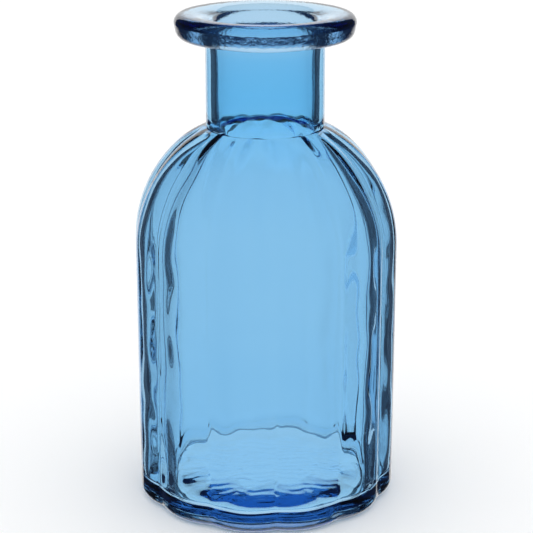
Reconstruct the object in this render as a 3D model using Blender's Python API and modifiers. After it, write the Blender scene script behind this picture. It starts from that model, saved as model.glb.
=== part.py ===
"""Fluted glass bud vase: one hollow piece of moulded glass.

Metres, +Z up. The origin is the middle of the base, on the surface that the vase
stands on. A flute's valley lies on each of the X and Y axes.
"""
import math

import bpy

NAME = "bud_vase"
NODE = "glass_vase"

# Body
HEIGHT = 0.1400
BODY_RADIUS = 0.0377          # over the crests of the flutes
SHOULDER_Z = 0.0750           # where the straight wall turns into the dome
SHOULDER_FULLNESS = 1.414     # 1 is a quarter ellipse, more is a slacker curve
HEEL_RADIUS = 0.0031
BODY_WALL = 0.0028

# Neck and lip
NECK_RADIUS = 0.0166
NECK_BASE_Z = 0.1083
BORE_RADIUS = 0.0136
LIP_RADIUS = 0.0252
LIP_ROUNDING = 0.0025         # round over the lip's crest
LIP_CORNER_R = 0.0244         # where the lip's side would meet its underside
LIP_CORNER_Z = 0.1334
LIP_CORNER_REACH = 0.0019     # the round there starts this far from the corner
LIP_UNDERSIDE_Z = 0.1321      # where the sloping underside meets the neck
LIP_FILLET = 0.0004           # between the neck and the lip's underside
DISH_DEPTH = 0.0015           # how far the lip's top falls from its crest to the mouth
DISH_FULLNESS = 2.5           # 1 is a straight cone, more is steeper at the mouth
MOUTH_ROUNDING = 0.0020

# Base
FLOOR_RADIUS = 0.0305         # where the inside's floor turns up to the wall
FLOOR_Z = 0.0048              # the floor's lowest point, at that radius
FLOOR_RISE = 0.0026           # the middle of the floor stands this much higher
FLOOR_FULLNESS = 4.0          # 2 is a plain dome, more is flatter in the middle
INNER_HEEL_HEIGHT = 0.0024
PUSH_UP = 0.0024              # how far the underside is raised inside its bearing ring
PUSH_UP_RISE = 0.0002         # and how much more at the middle
RECESS_WIDTH = 0.0060         # radial distance over which it rises
BEARING_WIDTH = 0.0030        # flat ring that the vase stands on

# Flutes: convex panels that meet in sharp valleys
FLUTES = 12
VALLEY_DEPTH = 0.0014
INNER_VALLEY_DEPTH = 0.0012   # the inside follows the outside a little more softly
FLUTE_RUN_OUT = 0.0050        # radial distance over which a flute fades at the neck

# Resolution
STEPS_PER_FLUTE = 6
CREST_STEPS = 5
CORNER_STEPS = 4
CURVE_STEPS = 5
FILLET_STEPS = 3
WALL_STEPS = 3
DOME_STEPS = 9
FLOOR_STEPS = 6
MERGE_DISTANCE = 0.00001
SHARP_ANGLE = math.radians(35)

# Glass
GLASS_COLOUR = (0.16, 0.50, 0.84, 1.0)
GLASS_ROUGHNESS = 0.04
GLASS_METALLIC = 0.0
GLASS_IOR = 1.51


def clear_scene():
    for old in list(bpy.data.objects):
        bpy.data.objects.remove(old, do_unlink=True)


def arc(centre_r, centre_z, radius, start_degrees, end_degrees, steps):
    """Points along an arc in the profile's plane, both ends included."""
    points = []
    for step in range(steps + 1):
        angle = math.radians(start_degrees + (end_degrees - start_degrees) * step / steps)
        points.append((centre_r + radius * math.cos(angle), centre_z + radius * math.sin(angle)))
    return points


def dome(inner_r, outer_r, low_z, high_z, steps):
    """The shoulder's curve, from its top at the neck to its foot at the wall."""
    points = []
    for step in range(steps + 1):
        angle = 0.5 * math.pi * (1.0 - step / steps)
        reach = max(math.cos(angle), 0.0) ** SHOULDER_FULLNESS
        points.append((inner_r + (outer_r - inner_r) * reach,
                       low_z + (high_z - low_z) * math.sin(angle)))
    return points


def straight(start, end, steps):
    """Points between two corners, both corners left out."""
    points = []
    for step in range(1, steps):
        share = step / steps
        points.append((start[0] + (end[0] - start[0]) * share,
                       start[1] + (end[1] - start[1]) * share))
    return points


def toward(start, end, distance):
    """The point at a distance from the start of a line."""
    share = distance / math.hypot(end[0] - start[0], end[1] - start[1])
    return (start[0] + (end[0] - start[0]) * share, start[1] + (end[1] - start[1]) * share)


def lip_corner(root_r):
    """The rounded corner between the lip's sloping side and its underside."""
    corner = (LIP_CORNER_R, LIP_CORNER_Z)
    before = toward(corner, (LIP_RADIUS, HEIGHT - LIP_ROUNDING), LIP_CORNER_REACH)
    after = toward(corner, (root_r, LIP_UNDERSIDE_Z), LIP_CORNER_REACH)
    points = []
    for step in range(CORNER_STEPS + 1):
        share = step / CORNER_STEPS
        weights = ((1.0 - share) ** 2, 2.0 * share * (1.0 - share), share ** 2)
        points.append(tuple(weights[0] * a + weights[1] * b + weights[2] * c
                            for a, b, c in zip(before, corner, after)))
    return points


def underside(ring_r):
    """The recess inside the bearing ring, from the ring's inner edge to the axis."""
    points = []
    for step in range(1, CURVE_STEPS + 1):
        angle = 0.5 * math.pi * step / CURVE_STEPS
        points.append((ring_r - RECESS_WIDTH * (1.0 - math.cos(angle)), PUSH_UP * math.sin(angle)))
    points.append((0.0, PUSH_UP + PUSH_UP_RISE))
    return points


def floor():
    """The inside's floor, from the axis out to where it turns up to the wall."""
    points = []
    for step in range(FLOOR_STEPS + 1):
        share = math.sin(0.5 * math.pi * step / FLOOR_STEPS)
        points.append((FLOOR_RADIUS * share,
                       FLOOR_Z + FLOOR_RISE * (1.0 - share ** FLOOR_FULLNESS)))
    return points


def inner_heel(wall_r):
    """The curve from the floor's edge up to the wall."""
    points = []
    for step in range(1, CURVE_STEPS + 1):
        angle = 0.5 * math.pi * step / CURVE_STEPS
        points.append((FLOOR_RADIUS + (wall_r - FLOOR_RADIUS) * math.sin(angle),
                       FLOOR_Z + INNER_HEEL_HEIGHT * (1.0 - math.cos(angle))))
    return points


def mouth():
    """The rounded edge of the bore and the dished top of the lip, up to its crest."""
    edge = arc(BORE_RADIUS + MOUTH_ROUNDING, HEIGHT - DISH_DEPTH - MOUTH_ROUNDING,
               MOUTH_ROUNDING, 180, 100, FILLET_STEPS)
    start_r, start_z = edge[-1]
    crest_r = LIP_RADIUS - LIP_ROUNDING
    for step in range(1, CURVE_STEPS):
        share = step / CURVE_STEPS
        edge.append((start_r + (crest_r - start_r) * share,
                     HEIGHT - (HEIGHT - start_z) * (1.0 - share) ** DISH_FULLNESS))
    return edge


def outer_profile():
    """The outside, from the lip's crest down to the middle of the underside."""
    root_r = NECK_RADIUS + LIP_FILLET
    heel_r = BODY_RADIUS - HEEL_RADIUS
    ring_r = heel_r - BEARING_WIDTH
    heel = arc(heel_r, HEEL_RADIUS, HEEL_RADIUS, 0, -90, CURVE_STEPS)
    shoulder = dome(NECK_RADIUS, BODY_RADIUS, SHOULDER_Z, NECK_BASE_Z, DOME_STEPS)
    points = arc(LIP_RADIUS - LIP_ROUNDING, HEIGHT - LIP_ROUNDING, LIP_ROUNDING, 90, 0, CREST_STEPS)
    points += lip_corner(root_r)
    points += arc(root_r, LIP_UNDERSIDE_Z - LIP_FILLET, LIP_FILLET, 90, 180, FILLET_STEPS)
    points += shoulder
    points += straight(shoulder[-1], heel[0], WALL_STEPS)
    points += heel
    points.append((ring_r, 0.0))
    points += underside(ring_r)
    return points


def inner_profile():
    """The inside, from the middle of the floor up to just inside the lip's crest."""
    wall_r = BODY_RADIUS - BODY_WALL
    shoulder = dome(BORE_RADIUS, wall_r, SHOULDER_Z, NECK_BASE_Z - 0.5 * BODY_WALL, DOME_STEPS)
    shoulder.reverse()
    points = floor()
    points += inner_heel(wall_r)
    points += straight(points[-1], shoulder[0], WALL_STEPS)
    points += shoulder
    points += mouth()
    return points


def run_out(radius, start_radius):
    """How strongly the flutes show at a radius: 0 at the neck, 1 on the body."""
    share = min(max((radius - start_radius) / FLUTE_RUN_OUT, 0.0), 1.0)
    return share * share * (3.0 - 2.0 * share)


def add_profile(points, depths):
    """A profile in the XZ plane that carries the depth of its flutes' valleys."""
    mesh = bpy.data.meshes.new("vase_profile")
    vertices = [(r, 0.0, z) for r, z in points]
    edges = [(index, index + 1) for index in range(len(points) - 1)]
    edges.append((len(points) - 1, 0))
    if points[0][0] == 0.0 and points[-1][0] == 0.0:
        edges.pop()
    mesh.from_pydata(vertices, edges, [])
    valley = mesh.attributes.new("valley", "FLOAT", "POINT")
    for item, depth in zip(valley.data, depths):
        item.value = depth
    return bpy.data.objects.new("vase_profile", mesh)


def turn(profile):
    """Turns the profile about the Z axis with a Screw modifier."""
    screw = profile.modifiers.new("Turn", "SCREW")
    screw.axis = "Z"
    screw.angle = 2.0 * math.pi
    screw.steps = FLUTES * STEPS_PER_FLUTE
    screw.render_steps = screw.steps
    screw.use_merge_vertices = True
    screw.merge_threshold = MERGE_DISTANCE


def press_flutes(mesh):
    """Moves each point inward by its valley depth times its distance from the crest."""
    depths = mesh.attributes["valley"].data
    for vertex, depth in zip(mesh.vertices, depths):
        radius = math.hypot(vertex.co.x, vertex.co.y)
        if radius == 0.0 or depth.value == 0.0:
            continue
        turns = math.atan2(vertex.co.y, vertex.co.x) / (2.0 * math.pi) * FLUTES
        from_crest = 2.0 * abs(turns - math.floor(turns) - 0.5)
        scale = 1.0 - depth.value * from_crest ** 2 / radius
        vertex.co.x *= scale
        vertex.co.y *= scale


def glass_material():
    material = bpy.data.materials.new("blue_glass")
    material.use_nodes = True
    shader = material.node_tree.nodes["Principled BSDF"]
    shader.inputs["Base Color"].default_value = GLASS_COLOUR
    shader.inputs["Roughness"].default_value = GLASS_ROUGHNESS
    shader.inputs["Metallic"].default_value = GLASS_METALLIC
    shader.inputs["IOR"].default_value = GLASS_IOR
    material.diffuse_color = GLASS_COLOUR
    return material


def make_vase(collection):
    """Inside and outside are one closed profile, so the vase is one hollow body."""
    inside = inner_profile()
    outside = outer_profile()
    depths = [INNER_VALLEY_DEPTH * run_out(r, BORE_RADIUS) if z < NECK_BASE_Z else 0.0
              for r, z in inside]
    depths += [VALLEY_DEPTH * run_out(r, NECK_RADIUS) if z < NECK_BASE_Z else 0.0
               for r, z in outside]
    profile = add_profile(inside + outside, depths)
    collection.objects.link(profile)
    turn(profile)
    graph = bpy.context.evaluated_depsgraph_get()
    mesh = bpy.data.meshes.new_from_object(profile.evaluated_get(graph))
    bpy.data.objects.remove(profile, do_unlink=True)
    press_flutes(mesh)
    mesh.name = NODE
    mesh.materials.append(glass_material())
    mesh.shade_smooth()
    mesh.set_sharp_from_angle(angle=SHARP_ANGLE)
    vase = bpy.data.objects.new(NODE, mesh)
    collection.objects.link(vase)
    return vase


def main():
    clear_scene()
    collection = bpy.data.collections.new(NAME)
    bpy.context.scene.collection.children.link(collection)
    make_vase(collection)


main()
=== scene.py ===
"""Looks of the fluted glass bud vase: fine glass mesh, tinted glass, studio set and camera.

Metres, +Z up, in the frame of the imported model. Angles are in degrees.
"""

import math

import bpy
import numpy as np
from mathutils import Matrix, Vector, noise


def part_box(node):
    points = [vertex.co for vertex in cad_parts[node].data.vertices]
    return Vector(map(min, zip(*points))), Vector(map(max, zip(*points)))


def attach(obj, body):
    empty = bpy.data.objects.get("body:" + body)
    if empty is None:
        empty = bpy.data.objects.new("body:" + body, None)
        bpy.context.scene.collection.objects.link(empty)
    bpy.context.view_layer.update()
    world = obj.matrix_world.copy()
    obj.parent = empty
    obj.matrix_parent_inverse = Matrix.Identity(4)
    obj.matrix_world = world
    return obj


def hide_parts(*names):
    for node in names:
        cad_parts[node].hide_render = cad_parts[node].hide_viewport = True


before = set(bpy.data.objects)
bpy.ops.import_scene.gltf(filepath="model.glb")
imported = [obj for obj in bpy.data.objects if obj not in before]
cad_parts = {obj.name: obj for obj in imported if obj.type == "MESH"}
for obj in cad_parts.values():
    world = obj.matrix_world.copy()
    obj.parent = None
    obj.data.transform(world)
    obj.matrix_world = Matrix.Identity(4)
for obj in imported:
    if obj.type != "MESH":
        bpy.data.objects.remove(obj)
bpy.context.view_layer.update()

NODE = "glass_vase"

# ---------------------------------------------------------------- sizes from the frame
low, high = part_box(NODE)
HEIGHT = high.z
BODY_RADIUS = max(math.hypot(v.co.x, v.co.y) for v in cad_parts[NODE].data.vertices)

# ---------------------------------------------------------------- body, neck and bore
SHOULDER_Z = 0.0750
SHOULDER_FULLNESS = 1.414
HEEL_RADIUS = 0.0031
WALL = 0.0028
NECK_RADIUS = 0.0166
NECK_BASE_Z = 0.1083
BORE_RADIUS = 0.0136

# ---------------------------------------------------------------- lip and mouth
LIP_RADIUS = 0.0252
LIP_ROUNDING = 0.0025
LIP_FILLET = 0.0004
LIP_UNDERSIDE_Z = 0.1321
LIP_CORNER_R = 0.0244
LIP_CORNER_Z = 0.1334
LIP_CORNER_ROUNDING = 0.0019
DISH_DEPTH = 0.0015
DISH_FULLNESS = 2.5
MOUTH_EDGE = 0.0020
MOUTH_EDGE_END = 100

# ---------------------------------------------------------------- floor and underside
FLOOR_RADIUS = 0.0305
FLOOR_Z = 0.0048
FLOOR_RISE = 0.0026
FLOOR_FULLNESS = 4.0
INNER_HEEL_HEIGHT = 0.0024
PUSH_UP = 0.0024
PUSH_UP_RISE = 0.0002
RECESS_WIDTH = 0.0060
BEARING_WIDTH = 0.0030

# ---------------------------------------------------------------- flutes
FLUTES = 12
STEPS_PER_FLUTE = 27
VALLEY_DEPTH = 0.0014
VALLEY_SOFTNESS = 0.045
INNER_VALLEY_DEPTH = 0.0012
FLUTE_RUN_OUT = 0.0050

# ---------------------------------------------------------------- waves of the inside wall
# ROUND is how fast a wave changes round the vase, UP how fast it changes with height, and
# PLACE picks a different stretch of the same noise.
BIG_WAVE = 0.00030
BIG_WAVE_ROUND = 2.2
BIG_WAVE_UP = 28.0
SMALL_WAVE = 0.00016
SMALL_WAVE_ROUND = 6.5
SMALL_WAVE_UP = 120.0
SMALL_WAVE_PLACE = 9.0
STILL_RADIUS = 0.010
WAVE_FADE = 0.010
NECK_WAVE_SHARE = 0.1
NECK_SAG = 0.0009
NECK_SAG_Z = 0.1055
NECK_SAG_REACH = 0.0035
NECK_SAG_LEAST = 0.01
NECK_SAG_ROUND = 3.6
NECK_SAG_PLACE = 5.0

# ---------------------------------------------------------------- ripples of the underside
RIPPLE_DEPTH = 0.00005
RIPPLE_LENGTH = 0.0035
RIPPLE_RADIUS = 0.0275
RIPPLE_FADE = 0.004
RIPPLE_SQUEEZE = 2.2
RIPPLE_LOW_Z = 0.0005
RIPPLE_HIGH_Z = 0.010

# ---------------------------------------------------------------- steps along the outline
CREST_STEPS = 12
LIP_SIDE_STEPS = 16
LIP_CORNER_STEPS = 8
FILLET_STEPS = 5
NECK_STEPS = 12
SHOULDER_STEPS = 28
BODY_STEPS = 6
HEEL_STEPS = 10
BEARING_STEPS = 4
RECESS_STEPS = 12
PUSH_UP_STEPS = 37
FLOOR_STEPS = 16
INNER_HEEL_STEPS = 14
INNER_BODY_STEPS = 44
BORE_STEPS = 10
MOUTH_STEPS = 8
DISH_STEPS = 13

# ---------------------------------------------------------------- glass
# Each tint is what one crossing of the surface lets through, at a height.
LOW_TINT = (0.555, 0.822, 0.998)
BODY_TINT = (0.590, 0.842, 0.998)
SHOULDER_TINT = (0.550, 0.822, 0.998)
NECK_TINT = (0.44, 0.79, 1.0)
UPPER_NECK_TINT = (0.490, 0.805, 1.0)
PALE_TINT = (0.76, 0.92, 1.0)
TINTS = [(0.0, LOW_TINT), (0.0200, LOW_TINT),
         (0.0400, BODY_TINT), (0.0850, BODY_TINT),
         (0.1000, SHOULDER_TINT),
         (0.1120, NECK_TINT), (0.1200, NECK_TINT),
         (0.1290, UPPER_NECK_TINT), (0.1360, PALE_TINT)]
PALE_BASE_MARGIN = 0.003
PALE_BASE_TOP = 0.012
PALE_BASE_FULL = 0.009
DEPTH_COLOUR = (0.02, 0.46, 0.80)
DEPTH_DENSITY = 45.0
GLASS_IOR = 1.51

# ---------------------------------------------------------------- surface of the glass
SPECKLE_SIZE = 0.0010
SPECKLE_DETAIL = 3.0
SPECKLE_BUMP = 0.00012
SPECKLE_MARGIN = 0.0006
SPECKLE_TOP_FADE = 0.0010
FAINT_SIZE = 0.0060
FAINT_DETAIL = 2.0
FAINT_BUMP = 0.00001
LIP_ROUGHNESS = 0.03
PATCH_SIZE = 0.0120
PATCH_DETAIL = 2.0
PATCH_FROM = 0.45
PATCH_FULL = 0.70
PATCH_ROUGHNESS = 0.012

# ---------------------------------------------------------------- camera
CAMERA_AZIMUTH = -4.9
CAMERA_DISTANCE = 0.456
CAMERA_HEIGHT = 0.212
CAMERA_TILT = 17.66
CAMERA_ASIDE = 0.00035
LENS_MM = 112.3
SENSOR_MM = 36.0
CLIP_START = 0.01
CLIP_END = 50.0

# ---------------------------------------------------------------- studio
CARD_DISTANCE = 2.0
SUBJECT_DISTANCE = 0.48
CARD_HALF_ANGLE = 30.0
CARD_UP_ANGLE = 50.0
CARD_DOWN_ANGLE = 40.0
CARD_MARGIN = 0.02
BOTTOM_REACH = -0.3
CARD_COLOUR = (1.0, 1.0, 1.0)
CARD_STRENGTH = 1.0
DARK_STUDIO = (0.036, 0.046, 0.068)
WHITE_STUDIO = (1.12, 1.12, 1.12)
FLOOR_COLOUR = (0.97, 0.97, 0.97)
FLOOR_ROUGHNESS = 0.9
FLOOR_HALF_WIDTH = 6.0
FLOOR_GAP = 0.0002
GLASS_BOUNCES = 24
GLOSSY_BOUNCES = 16


# ---------------------------------------------------------------- outline, as (radius, height)
def arc(centre_r, centre_z, radius, start, end, steps):
    angles = np.radians(np.linspace(start, end, steps + 1))
    return np.column_stack([centre_r + radius * np.cos(angles), centre_z + radius * np.sin(angles)])


def line(start, end, steps):
    share = np.linspace(0.0, 1.0, steps + 1)[:, None]
    return np.array(start) + (np.array(end) - np.array(start)) * share


def dome(inner_r, outer_r, low_z, high_z):
    """Down a shoulder, from the neck's radius out to the body's."""
    angle = 0.5 * math.pi * (1.0 - np.linspace(0.0, 1.0, SHOULDER_STEPS + 1))
    reach = np.maximum(np.cos(angle), 0.0) ** SHOULDER_FULLNESS
    return np.column_stack([inner_r + (outer_r - inner_r) * reach,
                            low_z + (high_z - low_z) * np.sin(angle)])


def join(*stretches):
    """One outline from several stretches, with shared end points kept once."""
    points = [stretches[0]]
    for stretch in stretches[1:]:
        points.append(stretch[1:] if np.allclose(points[-1][-1], stretch[0], atol=1e-7) else stretch)
    return np.vstack(points)


def lip_side(lip_z, root_r):
    """Down the lip: a sloping side, a rounded corner, then a sloping underside."""
    corner = np.array([LIP_CORNER_R, LIP_CORNER_Z])
    face = line((LIP_RADIUS, lip_z), corner, LIP_SIDE_STEPS)
    under = line(corner, (root_r, LIP_UNDERSIDE_Z), LIP_SIDE_STEPS)
    before = face[np.linalg.norm(face - corner, axis=1) > LIP_CORNER_ROUNDING]
    after = under[np.linalg.norm(under - corner, axis=1) > LIP_CORNER_ROUNDING]
    bend = np.linspace(0.0, 1.0, LIP_CORNER_STEPS + 1)[1:-1, None]
    rounding = ((1.0 - bend) ** 2 * before[-1] + 2.0 * bend * (1.0 - bend) * corner
                + bend ** 2 * after[0])
    return np.vstack([before, rounding, after])


def underside(ring_r):
    """From the bearing ring up into the recess, then in to the middle."""
    turn = 0.5 * math.pi * np.linspace(0.0, 1.0, RECESS_STEPS + 1)
    recess = np.column_stack([ring_r - RECESS_WIDTH * (1.0 - np.cos(turn)), PUSH_UP * np.sin(turn)])
    share = np.linspace(0.0, 1.0, PUSH_UP_STEPS + 1)
    push_up = np.column_stack([recess[-1, 0] * (1.0 - share),
                               PUSH_UP + PUSH_UP_RISE * np.sin(0.5 * math.pi * share)])
    push_up[-1, 0] = 0.0
    return join(recess, push_up)


def outside():
    """From the crest of the lip down to the middle of the underside."""
    lip_z = HEIGHT - LIP_ROUNDING
    root_r = NECK_RADIUS + LIP_FILLET
    heel_r = BODY_RADIUS - HEEL_RADIUS
    ring_r = heel_r - BEARING_WIDTH
    crest = arc(LIP_RADIUS - LIP_ROUNDING, lip_z, LIP_ROUNDING, 90, 0, CREST_STEPS)
    fillet = arc(root_r, LIP_UNDERSIDE_Z - LIP_FILLET, LIP_FILLET, 90, 180, FILLET_STEPS)
    shoulder = dome(NECK_RADIUS, BODY_RADIUS, SHOULDER_Z, NECK_BASE_Z)
    heel = arc(heel_r, HEEL_RADIUS, HEEL_RADIUS, 0, -90, HEEL_STEPS)
    return join(crest, lip_side(lip_z, root_r), fillet, line(fillet[-1], shoulder[0], NECK_STEPS),
                shoulder, line(shoulder[-1], heel[0], BODY_STEPS), heel,
                line(heel[-1], (ring_r, 0.0), BEARING_STEPS), underside(ring_r))


def floor_and_heel(wall_r):
    """From the middle of the domed floor out and up to the inside wall."""
    share = np.sin(0.5 * math.pi * np.linspace(0.0, 1.0, FLOOR_STEPS + 1))
    floor = np.column_stack([FLOOR_RADIUS * share,
                             FLOOR_Z + FLOOR_RISE * (1.0 - share ** FLOOR_FULLNESS)])
    turn = 0.5 * math.pi * np.linspace(0.0, 1.0, INNER_HEEL_STEPS + 1)
    heel = np.column_stack([FLOOR_RADIUS + (wall_r - FLOOR_RADIUS) * np.sin(turn),
                            FLOOR_Z + INNER_HEEL_HEIGHT * (1.0 - np.cos(turn))])
    return join(floor, heel)


def dish(start_r, start_z):
    """Up the dished top of the lip, to just short of its crest."""
    share = np.linspace(0.0, 1.0, DISH_STEPS + 1)
    crest_r = LIP_RADIUS - LIP_ROUNDING
    drop = HEIGHT - start_z
    rise = np.column_stack([start_r + (crest_r - start_r) * share,
                            HEIGHT - drop * (1.0 - share) ** DISH_FULLNESS])
    return rise[:-1]


def inside():
    """From the middle of the floor up to the crest of the lip."""
    wall_r = BODY_RADIUS - WALL
    base = floor_and_heel(wall_r)
    shoulder = dome(BORE_RADIUS, wall_r, SHOULDER_Z, NECK_BASE_Z - 0.5 * WALL)[::-1]
    edge_r, edge_z = BORE_RADIUS + MOUTH_EDGE, HEIGHT - DISH_DEPTH - MOUTH_EDGE
    edge = arc(edge_r, edge_z, MOUTH_EDGE, 180, MOUTH_EDGE_END, MOUTH_STEPS)
    return join(base, line(base[-1], shoulder[0], INNER_BODY_STEPS), shoulder,
                line(shoulder[-1], edge[0], BORE_STEPS), edge, dish(*edge[-1]))


# ---------------------------------------------------------------- unevenness of pressed glass
def ripple(r, angles):
    """Small unevenness left on the raised underside by the mould."""
    fade = min(max((RIPPLE_RADIUS - r) / RIPPLE_FADE, 0.0), 1.0)
    out = np.empty(len(angles))
    for index, angle in enumerate(angles):
        across, along = r * math.cos(angle), r * math.sin(angle) * RIPPLE_SQUEEZE
        place = Vector((across, along, 0.0)) / RIPPLE_LENGTH
        out[index] = RIPPLE_DEPTH * fade * noise.noise(place)
    return out


def neck_sag(z, angles):
    """The inside's edge under the neck wanders up and down, as pressed glass does."""
    near = math.exp(-((z - NECK_SAG_Z) / NECK_SAG_REACH) ** 2)
    if near < NECK_SAG_LEAST:
        return np.zeros(len(angles))
    out = np.empty(len(angles))
    for index, angle in enumerate(angles):
        across, along = math.cos(angle) * NECK_SAG_ROUND, math.sin(angle) * NECK_SAG_ROUND
        out[index] = NECK_SAG * near * noise.noise(Vector((across, along, NECK_SAG_PLACE)))
    return out


def wave(r, z, angles):
    """The inside wall moves in and out a little, less in the neck and not at all near the axis."""
    if r < STILL_RADIUS:
        return np.zeros(len(angles))
    out = np.empty(len(angles))
    for index, angle in enumerate(angles):
        c, s = math.cos(angle), math.sin(angle)
        big = noise.noise(Vector((c * BIG_WAVE_ROUND, s * BIG_WAVE_ROUND, z * BIG_WAVE_UP)))
        small = noise.noise(Vector((c * SMALL_WAVE_ROUND + SMALL_WAVE_PLACE,
                                    s * SMALL_WAVE_ROUND, z * SMALL_WAVE_UP)))
        out[index] = BIG_WAVE * big + SMALL_WAVE * small
    return out * np.clip((NECK_BASE_Z - z) / WAVE_FADE, NECK_WAVE_SHARE, 1.0)


# ---------------------------------------------------------------- mesh
def flute_shapes(angles):
    """Depth of a valley round the vase, 1 in a valley and 0 on a crest: sharp, then soft."""
    from_valley = np.abs(((angles * FLUTES / math.pi + 1.0) % 2.0) - 1.0)
    blunted = np.sqrt(from_valley ** 2 + VALLEY_SOFTNESS ** 2) - VALLEY_SOFTNESS
    sharp = (1.0 - np.clip(blunted, 0.0, 1.0)) ** 2
    soft = 0.5 * (1.0 + np.cos(math.pi * from_valley))
    return sharp, soft


def valley_depth(r, z, deepest, neck_r):
    """Full on the body, running out to nothing where the shoulder meets the neck."""
    share = np.clip((r - neck_r) / FLUTE_RUN_OUT, 0.0, 1.0)
    return deepest * (share * share * (3.0 - 2.0 * share)) * (z < NECK_BASE_Z)


def around(ring, angles, heights):
    return np.column_stack([ring * np.cos(angles), ring * np.sin(angles), heights])


def inner_ring(r, z, angles, shape):
    ring = r - valley_depth(r, z, INNER_VALLEY_DEPTH, BORE_RADIUS) * shape
    return around(ring + wave(r, z, angles), angles, z + neck_sag(z, angles))


def outer_ring(r, z, angles, shape):
    ring = r - valley_depth(r, z, VALLEY_DEPTH, NECK_RADIUS) * shape
    heights = np.full(len(angles), z)
    if r < RIPPLE_RADIUS and RIPPLE_LOW_Z < z < RIPPLE_HIGH_Z:
        heights = heights + ripple(r, angles)
    return around(ring, angles, heights)


def glass_rings(count):
    """Rows of points from the middle of the floor, over the lip, to the middle underneath."""
    angles = 2.0 * math.pi * np.arange(count) / count
    sharp, soft = flute_shapes(angles)
    inner, outer = inside(), outside()
    rings = [np.array([(0.0, 0.0, inner[0, 1])])]
    rings += [inner_ring(r, z, angles, soft) for r, z in inner[1:]]
    rings += [outer_ring(r, z, angles, sharp) for r, z in outer[:-1]]
    return rings + [np.array([(0.0, 0.0, outer[-1, 1])])]


def ring_faces(rings, count):
    """Quads between neighbouring rows, and triangles to the single points at both ends."""
    starts = np.cumsum([0] + [len(ring) for ring in rings])
    last = len(rings) - 2
    faces = []
    for row in range(last + 1):
        a, b = starts[row], starts[row + 1]
        for j in range(count):
            k = (j + 1) % count
            if row == 0:
                faces.append((a, b + j, b + k))
            elif row == last:
                faces.append((a + k, a + j, b))
            else:
                faces.append((a + j, b + j, b + k, a + k))
    return faces


def glass_mesh():
    count = FLUTES * STEPS_PER_FLUTE
    rings = glass_rings(count)
    mesh = bpy.data.meshes.new("glass")
    mesh.from_pydata(np.vstack(rings).tolist(), [], ring_faces(rings, count))
    mesh.validate()
    mesh.shade_smooth()
    return mesh


# ---------------------------------------------------------------- materials
def math_node(tree, operation, first, second=None):
    node = tree.nodes.new("ShaderNodeMath")
    node.operation = operation
    for socket, value in zip(node.inputs, (first, second)):
        if isinstance(value, float):
            socket.default_value = value
        elif value is not None:
            tree.links.new(value, socket)
    return node.outputs["Value"]


def map_range(tree, value, from_low, from_high, to_low, to_high):
    node = tree.nodes.new("ShaderNodeMapRange")
    node.inputs["From Min"].default_value = from_low
    node.inputs["From Max"].default_value = from_high
    node.inputs["To Min"].default_value = to_low
    node.inputs["To Max"].default_value = to_high
    tree.links.new(value, node.inputs["Value"])
    return node.outputs["Result"]


def noise_node(tree, size, detail):
    place = tree.nodes.new("ShaderNodeTexCoord")
    node = tree.nodes.new("ShaderNodeTexNoise")
    node.inputs["Scale"].default_value = 1.0 / size
    node.inputs["Detail"].default_value = detail
    tree.links.new(place.outputs["Object"], node.inputs["Vector"])
    return node.outputs["Fac"]


def add_tint_ramp(tree, height):
    """The tint at each height."""
    share = math_node(tree, "DIVIDE", height, HEIGHT)
    ramp = tree.nodes.new("ShaderNodeValToRGB")
    elements = ramp.color_ramp.elements
    while len(elements) < len(TINTS):
        elements.new(1.0)
    for element, (z, colour) in zip(elements, TINTS):
        element.position = z / HEIGHT
        element.color = (*colour, 1.0)
    tree.links.new(share, ramp.inputs["Fac"])
    return ramp.outputs["Color"]


def inside_base(tree, place):
    """1 in the middle of the base, 0 in the heel and the body."""
    across = math_node(tree, "MULTIPLY", place.outputs["X"], place.outputs["X"])
    along = math_node(tree, "MULTIPLY", place.outputs["Y"], place.outputs["Y"])
    radius = math_node(tree, "SQRT", math_node(tree, "ADD", across, along))
    off_axis = map_range(tree, radius, FLOOR_RADIUS + PALE_BASE_MARGIN, FLOOR_RADIUS, 0.0, 1.0)
    low_down = map_range(tree, place.outputs["Z"], PALE_BASE_TOP, PALE_BASE_FULL, 0.0, 1.0)
    return math_node(tree, "MULTIPLY", off_axis, low_down)


def add_tint(tree, shader, place):
    """Tinted by height, and pale in the base."""
    by_height = add_tint_ramp(tree, place.outputs["Z"])
    in_base = inside_base(tree, place)
    mix = tree.nodes.new("ShaderNodeMix")
    mix.data_type = "RGBA"
    mix.inputs["B"].default_value = (*PALE_TINT, 1.0)
    tree.links.new(in_base, mix.inputs["Factor"])
    tree.links.new(by_height, mix.inputs["A"])
    tree.links.new(mix.outputs["Result"], shader.inputs["Base Color"])


def lip_mask(tree, height):
    """1 on the side of the lip, 0 above and below it."""
    side_top = HEIGHT - LIP_ROUNDING
    above = map_range(tree, height, LIP_UNDERSIDE_Z, LIP_CORNER_Z - SPECKLE_MARGIN, 0.0, 1.0)
    below = map_range(tree, height, side_top + SPECKLE_MARGIN, side_top - SPECKLE_TOP_FADE, 0.0, 1.0)
    return math_node(tree, "MULTIPLY", above, below)


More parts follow.
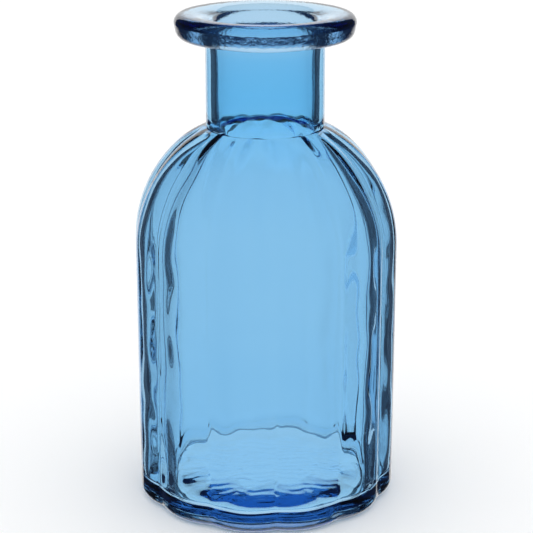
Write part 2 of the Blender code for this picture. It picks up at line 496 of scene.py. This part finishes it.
def add_surface(tree, shader, height):
    """Orange-peel speckle round the lip's side, and a faint unevenness of all the glass."""
    on_lip = lip_mask(tree, height)
    speckle = math_node(tree, "MULTIPLY", noise_node(tree, SPECKLE_SIZE, SPECKLE_DETAIL), on_lip)
    speckle = math_node(tree, "MULTIPLY", speckle, SPECKLE_BUMP)
    faint = math_node(tree, "MULTIPLY", noise_node(tree, FAINT_SIZE, FAINT_DETAIL), FAINT_BUMP)
    bump = tree.nodes.new("ShaderNodeBump")
    bump.inputs["Strength"].default_value = 1.0
    bump.inputs["Distance"].default_value = 1.0
    tree.links.new(math_node(tree, "ADD", speckle, faint), bump.inputs["Height"])
    tree.links.new(bump.outputs["Normal"], shader.inputs["Normal"])
    patches = noise_node(tree, PATCH_SIZE, PATCH_DETAIL)
    uneven = map_range(tree, patches, PATCH_FROM, PATCH_FULL, 0.0, PATCH_ROUGHNESS)
    worn = math_node(tree, "MULTIPLY", on_lip, LIP_ROUGHNESS)
    tree.links.new(math_node(tree, "ADD", uneven, worn), shader.inputs["Roughness"])


def glass_material():
    material = bpy.data.materials.new("tinted_glass")
    material.use_nodes = True
    tree = material.node_tree
    shader = tree.nodes["Principled BSDF"]
    shader.inputs["Transmission Weight"].default_value = 1.0
    shader.inputs["Roughness"].default_value = 0.0
    shader.inputs["IOR"].default_value = GLASS_IOR
    coordinates = tree.nodes.new("ShaderNodeTexCoord")
    place = tree.nodes.new("ShaderNodeSeparateXYZ")
    tree.links.new(coordinates.outputs["Object"], place.inputs["Vector"])
    add_tint(tree, shader, place)
    add_surface(tree, shader, place.outputs["Z"])
    volume = tree.nodes.new("ShaderNodeVolumeAbsorption")
    volume.inputs["Color"].default_value = (*DEPTH_COLOUR, 1.0)
    volume.inputs["Density"].default_value = DEPTH_DENSITY
    tree.links.new(volume.outputs["Volume"], tree.nodes["Material Output"].inputs["Volume"])
    return material


def floor_material():
    material = bpy.data.materials.new("floor")
    material.use_nodes = True
    shader = material.node_tree.nodes["Principled BSDF"]
    shader.inputs["Base Color"].default_value = (*FLOOR_COLOUR, 1.0)
    shader.inputs["Roughness"].default_value = FLOOR_ROUGHNESS
    return material


def card_material(name):
    material = bpy.data.materials.new(name)
    material.use_nodes = True
    tree = material.node_tree
    tree.nodes.clear()
    glow = tree.nodes.new("ShaderNodeEmission")
    glow.inputs["Color"].default_value = (*CARD_COLOUR, 1.0)
    glow.inputs["Strength"].default_value = CARD_STRENGTH
    output = tree.nodes.new("ShaderNodeOutputMaterial")
    tree.links.new(glow.outputs["Emission"], output.inputs["Surface"])
    return material


# ---------------------------------------------------------------- vase
def add_vase():
    mesh = glass_mesh()
    mesh.materials.append(glass_material())
    vase = bpy.data.objects.new("vase_glass", mesh)
    bpy.context.scene.collection.objects.link(vase)
    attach(vase, "root")
    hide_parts(NODE)


# ---------------------------------------------------------------- camera and studio
def add_camera():
    data = bpy.data.cameras.new("camera")
    data.lens = LENS_MM
    data.sensor_width = SENSOR_MM
    data.clip_start = CLIP_START
    data.clip_end = CLIP_END
    camera = bpy.data.objects.new("camera", data)
    bpy.context.scene.collection.objects.link(camera)
    turn = math.radians(CAMERA_AZIMUTH)
    tilt = math.radians(CAMERA_TILT)
    back = Vector((math.sin(turn), -math.cos(turn), 0.0))
    right = Vector((math.cos(turn), math.sin(turn), 0.0))
    camera.location = back * CAMERA_DISTANCE + right * CAMERA_ASIDE + Vector((0, 0, CAMERA_HEIGHT))
    look = -back * math.cos(tilt) - Vector((0, 0, math.sin(tilt)))
    camera.rotation_euler = look.to_track_quat("-Z", "Y").to_euler()
    bpy.context.scene.camera = camera
    return camera


def add_sheet(name, corners, material):
    mesh = bpy.data.meshes.new(name)
    mesh.from_pydata(corners, [], [(0, 1, 2, 3)])
    mesh.materials.append(material)
    sheet = bpy.data.objects.new(name, mesh)
    bpy.context.scene.collection.objects.link(sheet)
    return sheet


def add_floor():
    """A pale floor that catches the shadow, and that the glass doesn't show."""
    half = FLOOR_HALF_WIDTH
    corners = [(-half, -half, 0), (half, -half, 0), (half, half, 0), (-half, half, 0)]
    floor = add_sheet("floor", corners, floor_material())
    floor.location.z = low.z - FLOOR_GAP
    floor.visible_transmission = False
    floor.visible_glossy = False


def add_world():
    """White to the camera and to the floor's light, and dark where the glass meets it."""
    world = bpy.data.worlds.new("studio")
    bpy.context.scene.world = world
    world.use_nodes = True
    tree = world.node_tree
    tree.nodes.clear()
    path = tree.nodes.new("ShaderNodeLightPath")
    white = math_node(tree, "ADD", path.outputs["Is Camera Ray"], path.outputs["Diffuse Depth"])
    white.node.use_clamp = True
    mix = tree.nodes.new("ShaderNodeMix")
    mix.data_type = "RGBA"
    mix.inputs["A"].default_value = (*DARK_STUDIO, 1.0)
    mix.inputs["B"].default_value = (*WHITE_STUDIO, 1.0)
    tree.links.new(white, mix.inputs["Factor"])
    background = tree.nodes.new("ShaderNodeBackground")
    tree.links.new(mix.outputs["Result"], background.inputs["Color"])
    output = tree.nodes.new("ShaderNodeOutputWorld")
    tree.links.new(background.outputs["Background"], output.inputs["Surface"])


def add_card(name, corners, material, camera):
    """A bright card in the camera's own axes, seen only in and through the glass."""
    card = add_sheet(name, corners, material)
    card.parent = camera
    card.visible_camera = False
    card.visible_diffuse = False
    card.visible_shadow = False
    card.visible_volume_scatter = False


def add_cards(camera):
    """One card behind the vase and one below it, sized by the angles they fill from it."""
    far = CARD_DISTANCE
    behind = far - SUBJECT_DISTANCE
    half = behind * math.tan(math.radians(CARD_HALF_ANGLE)) + CARD_MARGIN
    up = behind * math.tan(math.radians(CARD_UP_ANGLE))
    down = behind * math.tan(math.radians(CARD_DOWN_ANGLE))
    back = [(-half, -down, -far), (half, -down, -far), (half, up, -far), (-half, up, -far)]
    add_card("back_card", back, card_material("white_card"), camera)
    bottom = [(-half, -down, -far), (-half, -down, BOTTOM_REACH),
              (half, -down, BOTTOM_REACH), (half, -down, -far)]
    add_card("bottom_card", bottom, card_material("bottom_card"), camera)


def set_view():
    scene = bpy.context.scene
    scene.view_settings.view_transform = "Standard"
    scene.cycles.max_bounces = GLASS_BOUNCES
    scene.cycles.transmission_bounces = GLASS_BOUNCES
    scene.cycles.glossy_bounces = GLOSSY_BOUNCES


camera = add_camera()
add_vase()
add_floor()
add_world()
add_cards(camera)
set_view()
